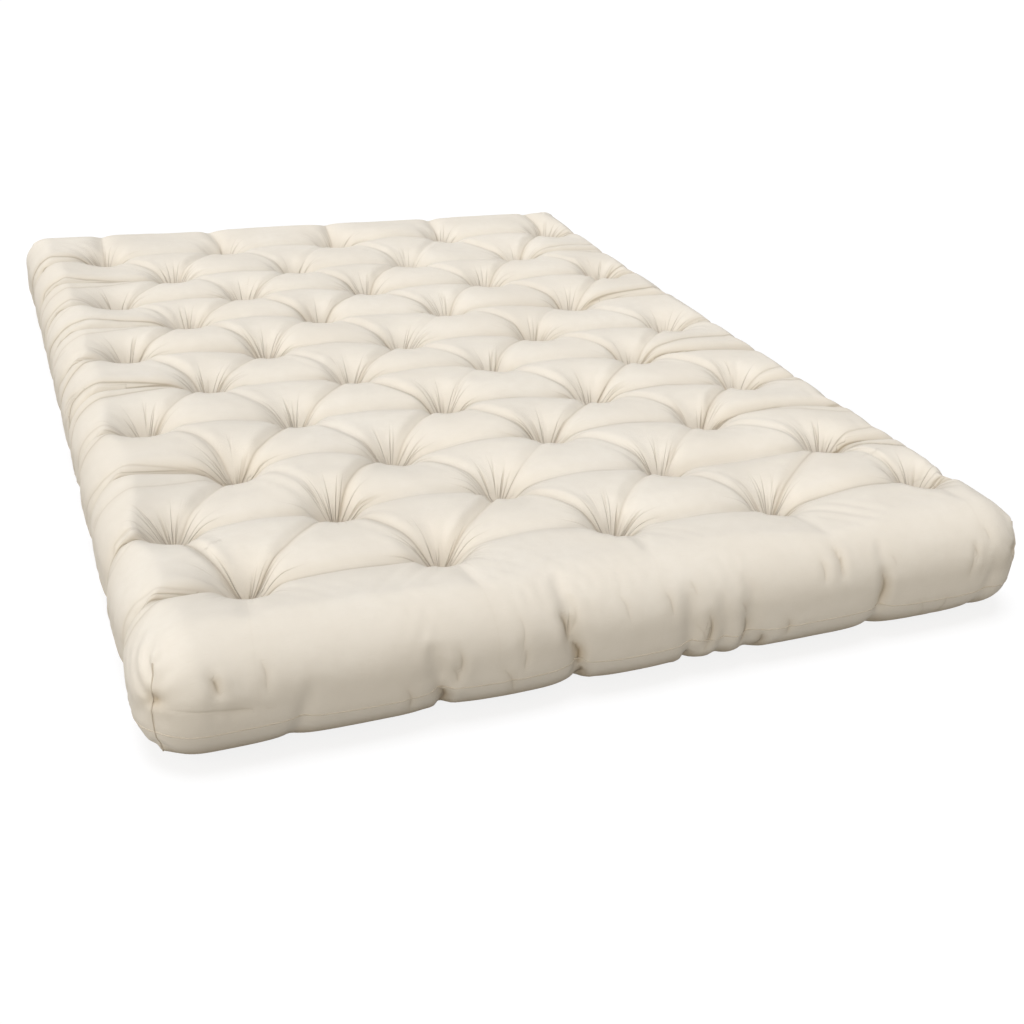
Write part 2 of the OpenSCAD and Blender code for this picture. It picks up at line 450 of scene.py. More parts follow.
def thread_sets(cloth):
    """Threads between neighbours, over two cells, and on the bias, in sets that share no point."""
    smooth = unfilled_shape(cloth)
    straight = []
    stiff = []

    def natural(a, b):
        gap = smooth[a] - smooth[b]
        span = np.linalg.norm(gap, axis=1)
        upright = np.abs(gap[:, 2]) > 0.5 * span
        return span * np.where(upright, side_fullness, top_fullness)

    for loop in cloth["loops"]:
        size = loop.shape[1]
        index = np.arange(size)
        for parity in (0, 1):
            pick = index[index % 2 == parity]
            a = loop[:, pick].ravel()
            b = loop[:, (pick + 1) % size].ravel()
            straight.append((a, b, natural(a, b)))
        for parity in (0, 2):
            pick = index[(index % 4 == parity) | (index % 4 == parity + 1)]
            a = loop[:, pick].ravel()
            b = loop[:, (pick + 1) % size].ravel()
            c = loop[:, (pick + 2) % size].ravel()
            stiff.append((a, c, natural(a, b) + natural(b, c)))
    ring = np.concatenate([cloth["ring"], cloth["ring"][:, :1]], 1)
    bias = []
    for row_parity in (0, 1):
        for column_parity in (0, 1):
            ends = []
            for sheet in (cloth["top"], cloth["bottom"], ring):
                a = sheet[row_parity:-1:2, column_parity:-1:2]
                b = sheet[row_parity:-1:2, column_parity + 1::2]
                d = sheet[row_parity + 1::2, column_parity:-1:2]
                c = sheet[row_parity + 1::2, column_parity + 1::2]
                r = min(a.shape[0], c.shape[0])
                s = min(a.shape[1], c.shape[1])
                ends.append([q[:r, :s].ravel() for q in (a, b, c, d)])
            a, b, c, d = [np.concatenate(q) for q in zip(*ends)]
            one = np.linalg.norm(smooth[a] - smooth[b], axis=1)
            two = np.linalg.norm(smooth[b] - smooth[c], axis=1)
            rest = np.hypot(one, two) * top_fullness
            bias.append((np.concatenate([a, b]), np.concatenate([c, d]), np.concatenate([rest, rest])))
    return straight, stiff, bias


def hold(points, threads, stretch, squeeze):
    """Brings each thread of a set back towards its own length."""
    a, b, rest = threads
    gap = points[b] - points[a]
    span = np.sqrt(np.einsum("ij,ij->i", gap, gap)) + 1e-9
    share = (span - rest) / span
    share *= np.where(share > 0, stretch, squeeze) * 0.5
    gap *= share[:, None]
    points[a] += gap
    points[b] -= gap


def outward(points, cloth):
    """Area-weighted outward directions at each point of the cloth."""
    total = np.zeros_like(points)
    ring = np.concatenate([cloth["ring"], cloth["ring"][:, :1]], 1)
    for sheet, turn in ((cloth["top"], 1), (cloth["bottom"], -1), (ring, -1)):
        at = points[sheet]
        face = np.cross(at[1:, 1:] - at[:-1, :-1], at[1:, :-1] - at[:-1, 1:]) * (0.5 * turn)
        corner = np.zeros_like(at)
        corner[1:, 1:] += face
        corner[:-1, :-1] += face
        corner[1:, :-1] += face
        corner[:-1, 1:] += face
        if sheet is ring:
            corner[:, 0] += corner[:, -1]
            corner = corner[:, :-1]
            total[cloth["ring"].ravel()] += corner.reshape(-1, 3)
        else:
            total[sheet.ravel()] += corner.reshape(-1, 3)
    return total * 0.25


def tuft_pins(cloth, smooth):
    """The cloth's points that the cords hold, on top, where they stray a little, and below."""
    wander = np.random.default_rng(5).normal(0, 0.005, (len(tufts), 2))
    top = cloth["top"].ravel()
    bottom = cloth["bottom"].ravel()
    top_pins = []
    bottom_pins = []
    for tuft, shift in zip(tufts, wander):
        top_pins.append(top[np.hypot(*(smooth[top, :2] - tuft - shift).T).argmin()])
        bottom_pins.append(bottom[np.hypot(*(smooth[bottom, :2] - tuft).T).argmin()])
    return top_pins, bottom_pins


def filling_gap(points, drawn):
    """How far each point stands out of the filling, below nought inside it, and the most push back."""
    middle = np.array([0, 0, lobe_top / 2])
    half = np.array([width / 2, length / 2, lobe_top / 2])
    x, y, z = points.T
    off = np.abs(points - middle) - half
    corner = np.where(y < 0, near_corner_round, far_corner_round)
    off[:, :2] += corner[:, None]
    far_share = np.clip((y / length - far_roll_from) / far_roll_over, 0, 1)
    upper_round = roll_round + (far_roll_round - roll_round) * far_share
    around = np.where(z < middle[2], low_round, upper_round)
    off[:, 2] += around
    side_pull = np.where(x < 0, looked_up(walls["left"], y, z), looked_up(walls["right"], y, z))
    end_pull = np.where(y < 0, looked_up(walls["near"], x, z), looked_up(walls["far"], x, z))
    inward = around - corner
    side_pull = side_pull * np.clip((off[:, 0] + inward) / around, 0, 1)
    end_pull = end_pull * np.clip((off[:, 1] + inward) / around, 0, 1)
    plan = np.hypot(*np.maximum(off[:, :2], 0).T) + np.minimum(off[:, :2].max(1), 0) + inward
    roll = np.hypot(np.maximum(plan, 0), np.maximum(off[:, 2], 0))
    roll = roll + np.minimum(np.maximum(plan, off[:, 2]), 0) - around
    roll = roll + (side_pull + end_pull) * drawn
    deep = looked_up(hollows, x, y) * drawn
    above = (z - (crown - deep)) * slope_share
    below = (deep * bottom_share - z) * slope_share
    gap = np.maximum(np.maximum(roll, above), below)
    return gap, np.where(roll > above, side_push, top_push)


def fill_and_tuft(cloth, rounds, start, draw_share):
    """Cloth simulation: the filling presses the cloth out while the cords draw the tufts in."""
    points = start.copy()
    straight, stiff, bias = thread_sets(cloth)
    top_pins, bottom_pins = tuft_pins(cloth, unfilled_shape(cloth))
    top_from = points[top_pins]
    bottom_from = points[bottom_pins]
    top_to = np.c_[tufts, np.full(len(tufts), top_seat - knot_sink)]
    bottom_to = np.c_[tufts, np.full(len(tufts), bottom_seat)]
    moving = np.zeros_like(points)
    for turn in range(rounds):
        drawn = 1.0
        if draw_share > 0:
            drawn = min(1.0, (turn + 1) / (draw_share * rounds))
        drawn = drawn * drawn * (3 - 2 * drawn)
        away = outward(points, cloth)
        gap, push = filling_gap(points, drawn)
        press = np.clip(-gap / press_depth, -push, press_most)
        before = points.copy()
        points += moving * kept_motion + away / cloth["cell"] * (press * press_step)[:, None]
        for threads in bias:
            hold(points, threads, *bias_hold)
        for threads in stiff:
            hold(points, threads, *stiff_hold)
        for threads in straight:
            hold(points, threads, *straight_hold)
        points[top_pins] = top_from + (top_to - top_from) * drawn
        points[bottom_pins] = bottom_from + (bottom_to - bottom_from) * drawn
        points[:, 2] = np.maximum(points[:, 2], 0)
        for axis, limit in ((0, width / 2 + edge_room), (1, length / 2 + edge_room)):
            over = np.maximum(np.abs(points[:, axis]) - limit, 0)
            points[:, axis] -= np.sign(points[:, axis]) * over * edge_give
        moving = points - before
        moving[points[:, 2] < lying_height] *= lying_motion
    return points


def spread(old, grid_from, grid_to):
    """Carries a coarse grid's points to a finer one."""
    at = old[grid_from]
    a = np.linspace(0, at.shape[0] - 1, grid_to.shape[0])
    b = np.linspace(0, at.shape[1] - 1, grid_to.shape[1])
    i = np.minimum(a.astype(int), at.shape[0] - 2)
    j = np.minimum(b.astype(int), at.shape[1] - 2)
    fa = (a - i)[:, None, None]
    fb = (b - j)[None, :, None]
    low = at[i][:, j] * (1 - fa) + at[i + 1][:, j] * fa
    high = at[i][:, j + 1] * (1 - fa) + at[i + 1][:, j + 1] * fa
    return low * (1 - fb) + high * fb


def finer(coarse, points, fine):
    """Starts the fine cloth where the coarse one came to rest."""
    out = np.zeros((fine["count"], 3))
    sides_from = np.cumsum([0, coarse["nx"], coarse["ny"], coarse["nx"], coarse["ny"]])
    sides_to = np.cumsum([0, fine["nx"], fine["ny"], fine["nx"], fine["ny"]])
    for q in range(4):
        source = np.arange(sides_from[q], sides_from[q + 1] + 1) % coarse["ring"].shape[1]
        target = np.arange(sides_to[q], sides_to[q + 1] + 1) % fine["ring"].shape[1]
        made = spread(points, coarse["ring"][:, source], fine["ring"][:, target])
        out[fine["ring"][:, target].ravel()] = made.reshape(-1, 3)
    for panel in ("top", "bottom"):
        made = spread(points, coarse[panel], fine[panel])
        out[fine[panel].ravel()] = made.reshape(-1, 3)
    return out


hollows = hollow_map()
walls = wall_maps()
coarse_cloth = cut_cloth(coarse_step)
first_shape = unfilled_shape(coarse_cloth)
first_shape += np.random.default_rng(3).normal(0, 0.0008, first_shape.shape)
coarse_shape = fill_and_tuft(coarse_cloth, coarse_rounds, first_shape, 0.4)
cloth = cut_cloth(fine_step)
shape = fill_and_tuft(cloth, fine_rounds, finer(coarse_cloth, coarse_shape, cloth), 0)


# ------------------------------------------------------------------ mesh helpers
def only(thing):
    """Selects one object and makes it active."""
    if bpy.context.object and bpy.context.object.mode != "OBJECT":
        bpy.ops.object.mode_set(mode="OBJECT")
    bpy.ops.object.select_all(action="DESELECT")
    thing.select_set(True)
    bpy.context.view_layer.objects.active = thing


def points_of(thing):
    out = np.empty(len(thing.data.vertices) * 3)
    thing.data.vertices.foreach_get("co", out)
    return out.reshape(-1, 3)


def directions_of(thing):
    out = np.empty(len(thing.data.vertices) * 3)
    thing.data.vertices.foreach_get("normal", out)
    return out.reshape(-1, 3)


def put_points(thing, points):
    thing.data.vertices.foreach_set("co", np.ascontiguousarray(points, np.float32).ravel())
    thing.data.update()


def give_value(thing, name, values):
    layer = thing.data.attributes.new(name, "FLOAT", "POINT")
    layer.data.foreach_set("value", np.ascontiguousarray(values, np.float32))


def give_place(thing, name, values):
    layer = thing.data.attributes.new(name, "FLOAT_VECTOR", "POINT")
    layer.data.foreach_set("vector", np.ascontiguousarray(values, np.float32).ravel())


def sewn_box(name):
    """The casing cut and sewn as a flat-sided box of unit size: two panels and the boxing between."""
    bpy.ops.object.select_all(action="DESELECT")
    bpy.ops.mesh.primitive_grid_add(x_subdivisions=cloth["nx"], y_subdivisions=cloth["ny"], size=1)
    box = bpy.context.object
    box.name = name
    bpy.ops.object.mode_set(mode="EDIT")
    bpy.ops.mesh.select_all(action="DESELECT")
    bpy.ops.mesh.select_non_manifold()
    for _ in range(cloth["levels"]):
        bpy.ops.mesh.extrude_edges_move(TRANSFORM_OT_translate={"value": (0, 0, -1.0)})
    bpy.ops.object.mode_set(mode="OBJECT")
    bpy.ops.object.select_all(action="DESELECT")
    bpy.ops.mesh.primitive_grid_add(
        x_subdivisions=cloth["nx"], y_subdivisions=cloth["ny"], size=1,
        location=(0, 0, -cloth["levels"]),
    )
    box.select_set(True)
    bpy.context.view_layer.objects.active = box
    bpy.ops.object.join()
    bpy.ops.object.mode_set(mode="EDIT")
    bpy.ops.mesh.select_all(action="SELECT")
    bpy.ops.mesh.remove_doubles(threshold=0.001)
    bpy.ops.mesh.normals_make_consistent(inside=False)
    bpy.ops.object.mode_set(mode="OBJECT")
    return box


def numbers_in_cloth(box):
    """For each corner of the sewn box, its number in the cut cloth."""
    at = points_of(box)
    i = np.rint((at[:, 0] + 0.5) * cloth["nx"]).astype(int)
    j = np.rint((at[:, 1] + 0.5) * cloth["ny"]).astype(int)
    k = np.rint(-at[:, 2]).astype(int)
    flat = j * (cloth["nx"] + 1) + i
    around = cloth["ring"].shape[1]
    middle = 2 * cloth["panel"] + (k - 1) * around + cloth["rim_place"][flat]
    numbers = np.where(k == 0, flat, np.where(k == cloth["levels"], flat + cloth["panel"], middle))
    across = at[:, 0] * 2 * cloth["half_x"]
    along = at[:, 1] * 2 * cloth["half_y"]
    return numbers, np.c_[across, along, k / cloth["levels"]]


def lay_out_pattern(box, cut):
    """UV map in metres, as the pieces of the casing lie on the cutting table."""
    bottom_panel_at = 1.6
    side_walls_at = 1.2
    end_walls_at = 2.0
    next_wall = 0.4
    count = len(box.data.polygons)
    corners = np.empty(len(box.data.loops), np.int32)
    box.data.loops.foreach_get("vertex_index", corners)
    at = cut[corners].reshape(count, 4, 3)
    low = at.min(1)
    high = at.max(1)
    flat_x = (high[:, 0] - low[:, 0]) < 1e-6
    flat_y = (high[:, 1] - low[:, 1]) < 1e-6
    down = at[:, :, 2] * cloth["wall"]
    u = at[:, :, 0].copy()
    v = at[:, :, 1].copy()
    lower = (low[:, 2] > 0.999) & ~flat_x & ~flat_y
    u[lower] = bottom_panel_at - u[lower]
    u[flat_x] = at[flat_x][:, :, 1]
    v[flat_x] = down[flat_x] + side_walls_at + next_wall * (at[flat_x][:, :, 0] > 0)
    v[flat_y] = down[flat_y] + end_walls_at + next_wall * (at[flat_y][:, :, 1] > 0)
    layer = box.data.uv_layers.active or box.data.uv_layers.new(name="UVMap")
    layer.data.foreach_set("uv", np.stack([u, v], -1).astype(np.float32).ravel())


# ------------------------------------------------------------------ casing
filling_inset = 0.012
upper_from = 0.07
upper_over = 0.03
line_half = 0.008
gather_reach = 0.065

casing = sewn_box("tufted_casing")
numbers, cut = numbers_in_cloth(casing)
lay_out_pattern(casing, cut)
put_points(casing, shape[numbers])


def smoothed(thing, levels):
    only(thing)
    round_off = thing.modifiers.new("round_off", "SUBSURF")
    round_off.levels = levels
    round_off.render_levels = levels
    bpy.ops.object.modifier_apply(modifier=round_off.name)
    for face in thing.data.polygons:
        face.use_smooth = True


only(casing)
bpy.ops.object.duplicate()
filling = bpy.context.object
filling.name = "batting_filling"
filling.data.name = "batting_filling"
put_points(filling, points_of(filling) - directions_of(filling) * filling_inset)
bpy.ops.object.shade_smooth()

smoothed(casing, 1)


# creases of the near end: across and height at the top, across and height at the foot, depth
near_creases = [
    (-0.285, 0.095, -0.275, 0.070, 0.0014),
    (-0.128, 0.140, -0.112, 0.100, 0.0040),
    (-0.108, 0.095, -0.088, 0.048, 0.0060),
    (-0.300, 0.062, -0.283, 0.015, 0.0060),
    (-0.090, 0.045, -0.080, 0.010, 0.0060),
    (0.030, 0.150, 0.045, 0.115, 0.0012),
    (0.100, 0.105, 0.110, 0.050, 0.0036),
    (0.162, 0.092, 0.170, 0.040, 0.0034),
    (0.080, 0.040, 0.088, 0.012, 0.0045),
    (0.196, 0.052, 0.206, 0.015, 0.0045),
    (0.235, 0.075, 0.242, 0.045, 0.0020),
    (0.315, 0.165, 0.330, 0.130, 0.0020),
    (0.398, 0.120, 0.410, 0.060, 0.0040),
    (-0.598, 0.140, -0.588, 0.118, 0.0035),
    (-0.655, 0.104, -0.520, 0.088, 0.0012),
]


def wall_creases(reach, count, seed):
    """Small creases here and there on one wall."""
    chance = np.random.default_rng(seed)
    made = []
    for _ in range(count):
        place = chance.uniform(-reach, reach)
        top = chance.uniform(0.05, 0.17)
        run = chance.uniform(0.015, 0.055)
        lean = chance.uniform(-0.1, 0.7)
        depth = chance.uniform(0.0005, 0.0016)
        made.append((place, top, place + run * lean, top - run, depth))
    return made


def crease_walls(at, pull, shade, fold_side, fold_strength):
    """Presses the walls' creases in, with a soft lip beside each."""
    wall_depth = 0.085
    reach_along = 0.16
    reach_up = 0.12
    half = 0.0060
    lip_at = 0.014
    lip_half = 0.009
    darkest_from = 0.006
    walls_of = (
        (0, 1, -1, near_creases + wall_creases(0.62, 20, 41)),
        (0, 1, 1, wall_creases(0.62, 34, 42)),
        (1, 0, -1, wall_creases(0.86, 44, 43)),
        (1, 0, 1, wall_creases(0.86, 44, 44)),
    )
    for along, across, side, creases in walls_of:
        edge = (length if across == 1 else width) / 2
        pick = np.where(at[:, across] * side > edge - wall_depth)[0]
        for a_top, z_top, a_foot, z_foot, depth in creases:
            run_a = a_foot - a_top
            run_z = z_foot - z_top
            run = math.hypot(run_a, run_z)
            beside_it = np.abs(at[pick, along] - a_top) < reach_along
            close = pick[beside_it & (np.abs(at[pick, 2] - z_top) < reach_up)]
            share = ((at[close, along] - a_top) * run_a + (at[close, 2] - z_top) * run_z) / run ** 2
            inside = np.clip(share, 0, 1)
            bend = 0.06 * run * np.sin(inside * math.pi * 1.5)
            away_a = at[close, along] - a_top - run_a * inside - bend
            away_z = at[close, 2] - z_top - run_z * inside
            away = np.hypot(away_a, away_z)
            fade = np.sin(np.clip(inside * 0.9 + 0.05, 0, 1) * math.pi) ** 0.6
            pull[close] += depth * fade * np.exp(-(away / half) ** 1.5)
            pull[close] -= 0.45 * depth * fade * np.exp(-((away - lip_at) / lip_half) ** 2)
            dark = min(1.0, depth / darkest_from) * fade
            # painted shade along each wall crease
            shade[close] = np.maximum(shade[close], dark * np.exp(-away / half))
            beside = (away_a * run_z - away_z * run_a) / run
            closer = away < np.abs(fold_side[close])
            changed = close[closer]
            fold_side[changed] = np.where((share < 0) | (share > 1), away, beside)[closer]
            fold_strength[changed] = (fade * (0.05 + 0.95 * dark))[closer]


def corner_gathers(at, pull, shade):
    """The cloth is drawn together in a small knot on each corner, at the top of its seam."""
    chance = np.random.default_rng(31)
    corner_reach = 0.14
    knot_half = 0.010
    knot_depth = 0.007
    ray_reach = 0.02
    ray_depth = 0.004
    for side_x in (-1, 1):
        for side_y in (-1, 1):
            on_corner = at[:, 0] * side_x > width / 2 - corner_reach
            on_corner &= at[:, 1] * side_y > length / 2 - corner_reach
            pick = np.where(on_corner)[0]
            off_height = np.abs(at[pick, 2] - gather_height)
            outmost = at[pick, 0] * side_x + at[pick, 1] * side_y - off_height * 2
            gap = at[pick] - at[pick[outmost.argmax()]]
            r = np.linalg.norm(gap, axis=1)
            around = np.arctan2(gap[:, 2], gap[:, 0] * side_y - gap[:, 1] * side_x)
            phase = chance.uniform(0, 6)
            ray = 0.5 + 0.5 * np.cos(around * 6 + phase + 2 * np.sin(around + phase))
            rays = ray_depth * ray * (r / ray_reach) * np.exp(-r / ray_reach)
            pull[pick] += knot_depth * np.exp(-(r / knot_half) ** 2) + rays
            # painted shade in each corner gather
            shade[pick] = np.maximum(shade[pick], np.exp(-r / knot_half))


def fold_creases(at, upper, chance, pull, shade, fold_side, fold_strength):
    """Presses a sharp crease in along each fold. Those over the long sides lean as they run down."""
    margin = 0.05
    past_end = 0.004
    side_foot = 0.030
    side_fade = 0.09
    lean_from = 0.145
    fade_run = 0.055
    crease_half = 0.0075
    shade_half = 0.009
    low = np.clip((at[:, 2] - side_foot) / side_fade, 0, 1)
    down = np.clip(lean_from - at[:, 2], 0, 1)
    for fold in folds:
        low_x, high_x = sorted((fold.ax, fold.bx))
        low_y, high_y = sorted((fold.ay, fold.by))
        pick = (at[:, 0] > low_x - margin) & (at[:, 0] < high_x + margin)
        pick &= (at[:, 1] > low_y - margin) & (at[:, 1] < high_y + margin)
        pick = np.where(pick)[0]
        over_side = fold.kind in ("side", "thin")
        lean = chance.uniform(-0.6, 0.6) * down[pick] if over_side else 0
        side, past, run = across_fold(fold, at[pick, 0], at[pick, 1] + lean)
        away = np.hypot(side, past)
        kind = fold_kinds[fold.kind]
        height = low[pick] if over_side else upper[pick]
        depth = kind.crease * chance.uniform(0.7, 1.1) * height * min(fold.share, 1.2)
        near_tuft = np.exp(-run / fade_run)
        if not over_side:
            depth = depth * (0.5 + 0.5 * near_tuft)
        least = 0.8 if over_side else chance.uniform(0.1, 0.5)
        strength = kind.dark * chance.uniform(0.7, 1.2) * min(1.0, fold.share)
        strength = strength * (least + (1 - least) * near_tuft) * height
        closer = away < np.abs(fold_side[pick])
        changed = pick[closer]
        fold_side[changed] = np.where(past > past_end, away, side)[closer]
        fold_strength[changed] = strength[closer]
        pull[pick] = np.maximum(pull[pick], depth * np.exp(-(away / crease_half) ** 1.4))
        # painted shade beside each fold's crease
        shade[pick] = np.maximum(shade[pick], 0.7 * strength * np.exp(-away / shade_half))


def tuft_gathers(at, upper, chance, pull, shade):
    """Pleats the cloth round each tuft. Gives each point its way from its tuft, and how far it is."""
    pleat_reach = 0.11
    pleat_peak = 0.024
    pleat_depth = 0.0032
    shade_half = 0.015
    nearest = np.full(len(at), 9.0)
    from_tuft = np.zeros((len(at), 3))
    for tx, ty in tufts:
        gap = at[:, :2] - (tx, ty)
        away = np.hypot(gap[:, 0], gap[:, 1])
        closer = away < nearest
        nearest[closer] = away[closer]
        from_tuft[closer, :2] = gap[closer]
        from_tuft[closer, 2] = chance.uniform(0, 1)
        pick = np.where(away < pleat_reach)[0]
        r = away[pick]
        angle = np.arctan2(gap[pick, 1], gap[pick, 0])
        count = chance.integers(9, 13)
        wave = angle + 0.25 * np.sin(2 * angle + chance.uniform(0, 6)) + chance.uniform(0, 6)
        pleat = np.abs(np.cos(wave * count / 2)) ** 4
        uneven = 0.55 + 0.45 * np.sin(3 * angle + chance.uniform(0, 6))
        swell = np.clip(r / pleat_peak, 0, 1) * np.exp(-np.maximum(r - pleat_peak, 0) / pleat_peak)
        pull[pick] += pleat_depth * pleat * uneven * swell * upper[pick]
        # painted shade in the dip round each tuft
        shade[pick] = np.maximum(shade[pick], np.exp(-r / shade_half) * upper[pick])
    return from_tuft, nearest


def painted_foot_shade(at):
    """How much painted contact shade lies on the cloth at the foot of the walls, where it lies on the
    floor.
    """
    wall_reach = 0.05
    foot_height = 0.022
    foot_shade_most = 0.8
    to_edge = np.minimum(width / 2 - np.abs(at[:, 0]), length / 2 - np.abs(at[:, 1]))
    on_wall = np.clip(1.8 - to_edge / wall_reach, 0, 1)
    # painted contact shade, darkest near the floor and fading up the wall
    return foot_shade_most * (on_wall * np.clip(1.98 - at[:, 2] / foot_height, 0, 1))


def pleats_and_creases(thing):
    """Finishes the casing's folds and gathers, and gives its cloth the values its material reads, its
    painted shade among them.
    """
    at = points_of(thing)
    face = directions_of(thing)
    chance = np.random.default_rng(29)
    upper = np.clip((at[:, 2] - upper_from) / upper_over, 0, 1)
    pull = np.zeros(len(at))
    shade = np.zeros(len(at))
    fold_side = np.full(len(at), 0.1)
    fold_strength = np.zeros(len(at))
    fold_creases(at, upper, chance, pull, shade, fold_side, fold_strength)
    from_tuft, nearest = tuft_gathers(at, upper, chance, pull, shade)
    crease_walls(at, pull, shade, fold_side, fold_strength)
    corner_gathers(at, pull, shade)
    finished = at - face * pull[:, None]
    finished[:, 2] = np.maximum(finished[:, 2], 0)
    put_points(thing, finished)
    fold_strength *= np.clip(1.3 - np.abs(fold_side) / line_half, 0, 1)
    # painted shade: darker along folds and wall creases, round the tufts, in the corner gathers and at
    # the foot of the walls
    give_value(thing, "painted_shade", np.maximum(shade, painted_foot_shade(at)))
    give_value(thing, "fold_side", fold_side)
    give_value(thing, "fold_strength", fold_strength)
    give_place(thing, "from_tuft", from_tuft)
    give_value(thing, "gathered", upper * np.clip(1.6 - nearest / gather_reach, 0, 1))


pleats_and_creases(casing)
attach(casing, "root")
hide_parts("casing_top_panel", "casing_bottom_panel")

battings = [name for name in frame["nodes"] if name.startswith("cotton_batting_")]
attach(filling, "root")
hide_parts(*battings)


# ------------------------------------------------------------------ seams
ridge_half = 0.0008
ridge_lift = 0.0002
corner_ridge_half = 0.0010
corner_ridge_lift = 0.0004
corner_seam_foot = 0.022


def rim_number(i, j):
    return cloth["rim_place"][j * (cloth["nx"] + 1) + i]


def seam_level():
    heights = shape[cloth["ring"]][:, :, 2].mean(1)
    return int(np.abs(heights - seam_height).argmin())


def sewn_ridge(name, path, thick):
    """A rounded ridge of turned-in cloth along a line of the casing."""
    bpy.ops.object.select_all(action="DESELECT")
    bpy.ops.curve.primitive_nurbs_path_add()
    ridge = bpy.context.object
    ridge.name = name
    line = ridge.data.splines
    line.clear()
    spline = line.new("POLY")
    spline.points.add(len(path) - 1)
    for point, place in zip(spline.points, path):
        point.co = (*place, 1.0)
    ridge.data.dimensions = "3D"
    ridge.data.bevel_depth = thick
    ridge.data.bevel_resolution = 2
    ridge.data.use_fill_caps = True
    bpy.ops.object.convert(target="MESH")
    ridge = bpy.context.object
    bpy.ops.object.transform_apply(location=True, rotation=True, scale=True)
    bpy.ops.object.shade_smooth()
    return ridge


def seam(name, path, thick):
    """One seam of the casing, in the place of its plain CAD ridge."""
    ridge = sewn_ridge(name + "_ridge", path, thick)
    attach(ridge, "root")
    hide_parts(name)
    return ridge


def sew_seams():
    """The four seams round the casing, and the upright seam at each corner."""
    ring = cloth["ring"]
    nx = cloth["nx"]
    ny = cloth["ny"]
    finished = shape.copy()
    directions = shape.copy()
    finished[numbers] = points_of(casing)[:len(numbers)]
    directions[numbers] = directions_of(casing)[:len(numbers)]
    around = ring[seam_level()]
    line = finished[around] + directions[around] * ridge_lift
    starts = np.cumsum([0, nx, ny, nx])
    names = ("end_seam_near", "side_seam_right", "end_seam_far", "side_seam_left")
    made = []
    for name, start, count in zip(names, starts, (nx, ny, nx, ny)):
        pick = np.arange(start, start + count + 1) % len(line)
        made.append(seam(name, line[pick], ridge_half))
    corners = {
        "corner_seam_1": (nx, ny), "corner_seam_2": (0, ny),
        "corner_seam_3": (0, 0), "corner_seam_4": (nx, 0),
    }
    for name, (i, j) in corners.items():
        column = ring[:, rim_number(i, j)]
        path = finished[column] + directions[column] * corner_ridge_lift
        path = path[(path[:, 2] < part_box(name)[1].z) & (path[:, 2] > corner_seam_foot)]
        made.append(seam(name, path, corner_ridge_half))
    return made


seams = sew_seams()


# ------------------------------------------------------------------ materials
cotton_warm = (0.81, 0.754, 0.668)
cotton_pale = (0.85, 0.803, 0.725)
cotton_speckle = (0.785, 0.732, 0.648)
slub_thread = (0.72, 0.65, 0.55)
soft_shade = (0.54, 0.44, 0.30)
crease_shade = (0.36, 0.28, 0.19)
pleat_shade = (0.42, 0.34, 0.24)
weave_pitch = 0.0007


def new_material(name):
    material = bpy.data.materials.new(name)
    material.use_nodes = True
    tree = material.node_tree
    return material, tree, tree.nodes["Principled BSDF"]


def node(tree, kind, **settings):
    made = tree.nodes.new(kind)
    for key, value in settings.items():
        setattr(made, key, value)
    return made


def noise(tree, vector, scale, detail=3.0, roughness=0.5):
    made = node(tree, "ShaderNodeTexNoise")
    made.inputs["Scale"].default_value = scale
    made.inputs["Detail"].default_value = detail
    made.inputs["Roughness"].default_value = roughness
    tree.links.new(vector, made.inputs["Vector"])
    return made.outputs["Fac"]


def blend_colours(tree, share, first, second):
    made = node(tree, "ShaderNodeMix", data_type="RGBA")
    for socket, value in ((made.inputs[6], first), (made.inputs[7], second)):
        if isinstance(value, tuple):
            socket.default_value = (*value, 1.0)
        else:
            tree.links.new(value, socket)
    tree.links.new(share, made.inputs[0])
    return made.outputs[2]


def ranged(tree, value, low, high, to_low, to_high):
    made = node(tree, "ShaderNodeMapRange")
    made.inputs["From Min"].default_value = low
    made.inputs["From Max"].default_value = high
    made.inputs["To Min"].default_value = to_low
    made.inputs["To Max"].default_value = to_high
    tree.links.new(value, made.inputs["Value"])
    return made.outputs["Result"]


def arithmetic(tree, operation, first, second=0.0):
    made = node(tree, "ShaderNodeMath", operation=operation)
    for socket, value in ((made.inputs[0], first), (made.inputs[1], second)):
        if isinstance(value, (int, float)):
            socket.default_value = value
        else:
            tree.links.new(value, socket)
    return made.outputs[0]


def times(tree, first, second):
    return arithmetic(tree, "MULTIPLY", first, second)


def plus(tree, first, second):
    return arithmetic(tree, "ADD", first, second)


def minus(tree, first, second):
    return arithmetic(tree, "SUBTRACT", first, second)


def tinted(tree, colour, mark, low, high, most, tint):
    """Lays a tint over a colour, more of it as the mark runs from low to high."""
    return blend_colours(tree, ranged(tree, mark, low, high, 0.0, most), colour, tint)


def raised(tree, shader, height, distance, strength):
    bump = node(tree, "ShaderNodeBump")
    bump.inputs["Distance"].default_value = distance
    bump.inputs["Strength"].default_value = strength
    tree.links.new(height, bump.inputs["Height"])
    tree.links.new(bump.outputs["Normal"], shader.inputs["Normal"])


def plain_weave(tree, pattern, pitch):
    """Warp and weft passing over and under each other."""
    apart = node(tree, "ShaderNodeSeparateXYZ")
    tree.links.new(pattern, apart.inputs["Vector"])
    turns = math.pi / pitch
    warp = arithmetic(tree, "SINE", times(tree, apart.outputs["X"], turns))
    weft = arithmetic(tree, "SINE", times(tree, apart.outputs["Y"], turns))
    return times(tree, warp, weft)


def attribute(tree, name, output="Fac"):
    return node(tree, "ShaderNodeAttribute", attribute_name=name).outputs[output]


def crease_lines(tree):
    """Thin sharp line along each fold of the casing, sunk in the bump and painted in shade."""
    side = arithmetic(tree, "ABSOLUTE", attribute(tree, "fold_side"))
    line = arithmetic(tree, "POWER", ranged(tree, side, 0.0, 0.0042, 1.0, 0.0), 1.6)
    return times(tree, line, attribute(tree, "fold_strength"))


